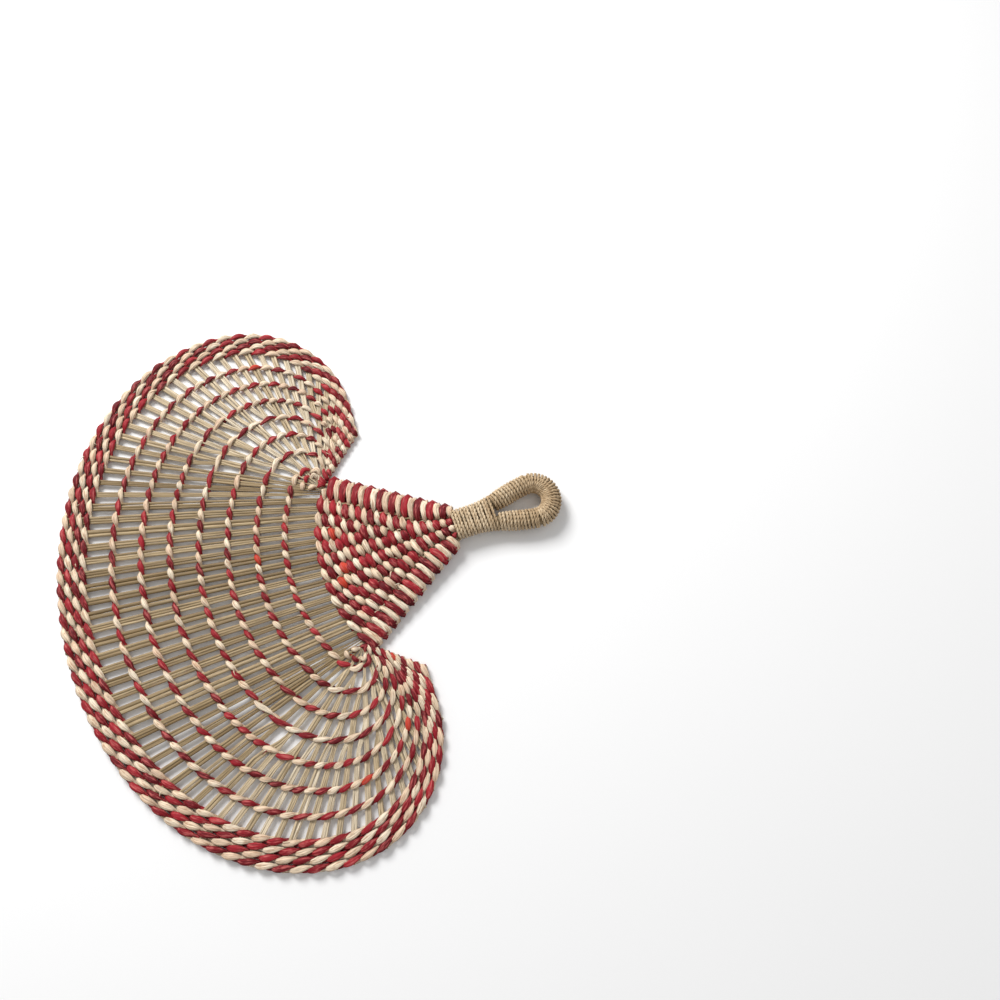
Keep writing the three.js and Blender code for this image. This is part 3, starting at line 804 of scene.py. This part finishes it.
# The open rows and the rim. The first row's strands also bind the corners of the panel.
def make_rows():
    for row in range(1, OPEN_ROWS + RIM_ROWS + 1):
        is_open = row <= OPEN_ROWS
        word = f"open_row_{row}" if is_open else f"rim_row_{row - OPEN_ROWS}"
        half, bright = (STRAND, OPEN_BRIGHT) if is_open else (RIM_STRAND, RIM_BRIGHT)
        rows = [whole_row(row)]
        if row == 1:
            rows += [corner_row(side, part) for side in (-1, 1) for part in CORNER_ROWS]
        for second, colour in ((False, "red"), (True, "natural")):
            runs = [strand_run(knots, second, bright) for knots in rows]
            runs += stray_ends(rows[0], ROW_STRAYS[colour])
            make_strand(f"{word}_{colour}", runs, half, colour)


# Stops of one row of the panel, as angles: a long stitch over each edge and shorter ones between.
def panel_stops(radius):
    arc = 2 * PANEL_HALF * radius
    edge = min(EDGE_STITCH, EDGE_MOST * arc)
    inner = 2 * max(round((arc - 2 * edge) / PANEL_STITCH / 2), 1)
    places = [-arc / 2 + edge / 2]
    places += [-arc / 2 + edge + (i + 0.5) * (arc - 2 * edge) / inner for i in range(inner)]
    places.append(arc / 2 - edge / 2)
    return [place / radius for place in places]


# Both strands go to and fro over the panel, from the neck to its front edge, and wrap round its sides.
def panel_knots():
    knots, turn = [], 0
    for row in range(PANEL_ROWS):
        radius = PANEL_FIRST + row * PANEL_PITCH
        side = 1 if row % 2 == 0 else -1
        angles = [side * angle for angle in panel_stops(radius)]
        z, high = panel_z(radius), panel_thick(radius) + PANEL_CLEAR
        for i, angle in enumerate(angles):
            place = polar(radius + rng.uniform(-PANEL_WANDER, PANEL_WANDER), angle)
            out = Vector((math.sin(angle), math.cos(angle))) * side
            fat = EDGE_FAT if i in (0, len(angles) - 1) else 1
            knots.append(Knot(turn, place, out, z, high, PANEL_WAVE, PANEL_NARROW, fat))
            if i + 1 < len(angles):
                place = polar(radius, (angle + angles[i + 1]) / 2)
                knots.append(Knot(turn + 0.5, place, out, z, high, PANEL_WAVE, PANEL_NARROW))
            turn += 1
        if row + 1 < PANEL_ROWS:
            r = radius + PANEL_PITCH / 2
            edge = side * (PANEL_HALF + WRAP_OUT / r)
            out = Vector((math.sin(edge), math.cos(edge))) * -1
            wrap = Knot(turn - 0.5, polar(r, edge), out, panel_z(r), high, PANEL_PITCH / 2, WRAP_SCALE)
            knots.append(wrap)
    return knots


def make_panel():
    knots = panel_knots()
    for second, colour in ((False, "red"), (True, "natural")):
        runs = [strand_run(knots, second, PANEL_BRIGHT)] + stray_ends(knots, PANEL_STRAYS)
        make_strand("panel_weft_" + colour, runs, PANEL_STRANDS[colour], colour)


# Sideways place of the right limb's middle, and half its width.
def limb_x(y):
    return lerp(STEM_X, LIMB_X, smoothstep(-y, PART_FROM, PART_PAST - BEND_Y))


def limb_half(y):
    return lerp(STEM_HALF, LIMB_HALF, smoothstep(-y, *SWELL))


# The middle line of the loop, from the right of the neck round the bend to the left of it.
def hairpin():
    right = []
    for i in range(LIMB_STEPS):
        y = HANDLE_TOP + (BEND_Y - HANDLE_TOP) * i / LIMB_STEPS
        right.append(Vector((limb_x(y), y, HANDLE_Z)))
    bend = []
    for i in range(BEND_STEPS + 1):
        a = math.pi * i / BEND_STEPS
        bend.append(Vector((LIMB_X * math.cos(a), BEND_Y - LIMB_X * math.sin(a), HANDLE_Z)))
    return right + bend + [Vector((-p.x, p.y, p.z)) for p in reversed(right)]


HAIRPIN = hairpin()


# The bundle under the cord.
def handle_core():
    return [(p.x, p.y, p.z, limb_half(p.y) / LIMB_HALF, CORE_TONE) for p in HAIRPIN[::CORE_EVERY]]


# Turns of the cord round both limbs at the stem, as points and the ways that they face.
def stem_turns():
    path = []
    steps = STEM_TURN * round((CORD_TOP - STEM_END) / CORD_PITCH)
    for i in range(steps):
        y = CORD_TOP + (STEM_END - CORD_TOP) * i / steps
        a = 2 * math.pi * i / STEM_TURN
        if i % STEM_TURN == 0:
            sway = rng.uniform(-CORD_SWAY, CORD_SWAY)
        c, s = math.cos(a), math.sin(a)
        x = signed_power(c, STEM_SIDES) * (limb_x(y) + limb_half(y) + CORD)
        z = signed_power(s, STEM_FACES) * (LIMB_HIGH + CORD)
        path.append((Vector((x, y + sway * s, HANDLE_Z + z)), Vector((c, 0, s))))
    return path


# Turns of the cord round the loop, from one limb round the bend to the other.
def loop_turns():
    path = []
    lengths = [0.0]
    for p, q in zip(HAIRPIN, HAIRPIN[1:]):
        lengths.append(lengths[-1] + (q - p).length * (BEND_TURNS if p.y < BEND_Y else 1))
    start = next(n for p, n in zip(HAIRPIN, lengths) if p.y < STEM_END)
    wound = lengths[-1] - 2 * start
    steps = LOOP_TURN * round(wound / CORD_PITCH)
    k = 0
    for i in range(steps + 1):
        d = start + wound * i / steps
        while lengths[k + 1] < d:
            k += 1
        f = (d - lengths[k]) / (lengths[k + 1] - lengths[k])
        here = HAIRPIN[k].lerp(HAIRPIN[k + 1], f)
        along = (HAIRPIN[k + 1] - HAIRPIN[k]).normalized()
        out = Vector((-along.y, along.x, 0))
        a = 2 * math.pi * i / LOOP_TURN
        if i % LOOP_TURN == 0:
            sway = rng.uniform(-CORD_SWAY, CORD_SWAY)
        c, s = math.cos(a), math.sin(a)
        p = here + out * (c * (limb_half(here.y) + CORD)) + along * (sway * s)
        p.z += s * (LIMB_HIGH + CORD)
        path.append((p, out * c + Vector((0, 0, s))))
    return path


# Two plies twisted round each other along the cord's path.
def cord_plies():
    path = stem_turns() + loop_turns()
    plies = ([], [])
    along, tone = 0.0, sum(CORD_TONES) / 2
    for i, (point, out) in enumerate(path):
        before, after = path[max(i - 1, 0)][0], path[min(i + 1, len(path) - 1)][0]
        way = (after - before).normalized()
        beside = way.cross(out).normalized()
        along += (point - before).length
        tone = min(max(tone + rng.uniform(-CORD_TONE_STEP, CORD_TONE_STEP), CORD_TONES[0]), CORD_TONES[1])
        for ply, run in enumerate(plies):
            a = 2 * math.pi * along / PLY_TWIST + math.pi * ply
            p = point + (out * math.cos(a) + beside * math.sin(a)) * (CORD - PLY)
            run.append((p.x, p.y, p.z, 1, tone + (PLY_TONE if ply else -PLY_TONE)))
    return plies


def make_handle():
    core = sweep("real_handle_loop", [handle_core()], (LIMB_HALF, LIMB_HIGH), CORE_SIDES)
    settle(core, "handle_loop", "straw")
    cord = sweep("real_handle_cord", cord_plies(), (PLY, PLY), PLY_SIDES, flat=False)
    settle(cord, "handle_cord", "handle_cord")


# From here on sizes and places are in metres. A pale floor.
def make_floor():
    bpy.ops.object.select_all(action="DESELECT")
    bpy.ops.mesh.primitive_plane_add(size=6, location=(0, 0, -0.0002))
    floor = bpy.context.object
    floor.name = "floor"
    paper = bpy.data.materials.new("paper")
    paper.use_nodes = True
    shader = paper.node_tree.nodes["Principled BSDF"]
    shader.inputs["Base Color"].default_value = (0.93, 0.93, 0.93, 1)
    shader.inputs["Roughness"].default_value = 0.9
    shader.inputs["Specular IOR Level"].default_value = 0.1
    floor.data.materials.append(paper)


# An area lamp that faces the middle of the fan.
def area_light(name, place, size, power):
    bpy.ops.object.light_add(type="AREA", location=place)
    lamp = bpy.context.object
    lamp.name = name
    lamp.data.size = size
    lamp.data.energy = power
    lamp.rotation_euler = (-Vector(place)).to_track_quat("-Z", "Y").to_euler()


# Soft studio light.
def make_light():
    world = bpy.data.worlds.new("studio")
    bpy.context.scene.world = world
    world.use_nodes = True
    background = world.node_tree.nodes["Background"]
    background.inputs["Color"].default_value = (1, 1, 1, 1)
    background.inputs["Strength"].default_value = 0.4
    area_light("key", place=(1.0, 0.25, 0.95), size=0.6, power=22)
    area_light("fill", place=(-0.3, -0.9, 1.2), size=1.6, power=3)


# The camera stands where the photograph was taken from. Places are from the neck.
def make_camera():
    eye = NECK + Vector((-0.1347, 0.0158, 0.4664))
    target = NECK + Vector((0.0091, -0.0319, 0))
    picture_up = Vector((0.949, -0.315, 0))
    ahead = (target - eye).normalized()
    right = ahead.cross(picture_up).normalized()
    up = right.cross(ahead)
    bpy.ops.object.camera_add()
    camera = bpy.context.object
    turned = Matrix((right, up, -ahead)).transposed().to_4x4()
    camera.matrix_world = Matrix.Translation(eye) @ turned
    camera.data.lens = 27.36
    camera.data.sensor_width = 36
    camera.data.dof.use_dof = False
    bpy.context.scene.camera = camera


make_columns()
make_lobes()
make_rows()
make_panel()
make_handle()
make_floor()
make_light()
make_camera()
bpy.context.scene.view_settings.view_transform = "Standard"
